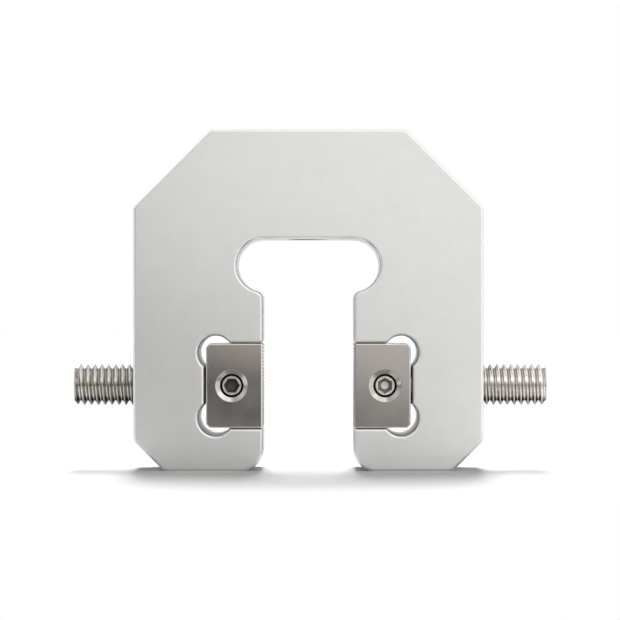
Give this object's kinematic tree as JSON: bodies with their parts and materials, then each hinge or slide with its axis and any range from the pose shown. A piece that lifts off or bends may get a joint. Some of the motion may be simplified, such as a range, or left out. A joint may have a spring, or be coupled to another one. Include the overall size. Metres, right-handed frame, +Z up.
{
  "type": "tensile test grip",
  "caption": "Screw clamp for tensile tests: a C-shaped plate with knurled jaws that close across its slot.",
  "frame": {"origin": "in the plane of the feet, midway between the jaws and midway through the plate", "axes": "+Z up towards the mounting thread, +X across the grip from the left spindle to the right one, -Y out of the face with the jaw screws"},
  "size_m": [0.0681, 0.015, 0.0488],
  "materials": {
    "plate": "satin, fine blasted and clear anodised",
    "jaw": "ground",
    "spindle": "bright rolled thread",
    "set_screw": "plain"
  },
  "bodies": {
    "frame": {"frame": "plate"},
    "left_jaw": {"left_jaw": "jaw", "left_jaw_screw": "set_screw"},
    "right_jaw": {"right_jaw": "jaw", "right_jaw_screw": "set_screw"},
    "left_spindle": {"left_spindle": "spindle"},
    "right_spindle": {"right_spindle": "spindle"}
  },
  "joints": [
    {"name": "left_jaw_slide", "type": "slide", "parent": "frame", "child": "left_jaw", "axis": [1, 0, 0], "range_m": [0, 0.0063]},
    {"name": "right_jaw_slide", "type": "slide", "parent": "frame", "child": "right_jaw", "axis": [-1, 0, 0], "range_m": [0, 0.0063]},
    {"name": "left_spindle_turn", "type": "hinge", "parent": "left_jaw", "child": "left_spindle", "pos_m": [-0.03, 0, 0.0122], "axis": [1, 0, 0], "range_deg": [0, 2268]},
    {"name": "right_spindle_turn", "type": "hinge", "parent": "right_jaw", "child": "right_spindle", "pos_m": [0.03, 0, 0.0122], "axis": [-1, 0, 0], "range_deg": [0, 2268]}
  ],
  "couplings": [
    {"joint": "left_spindle_turn", "follows": "left_jaw_slide", "rad_per_m": 6283.2},
    {"joint": "right_spindle_turn", "follows": "right_jaw_slide", "rad_per_m": 6283.2}
  ]
}
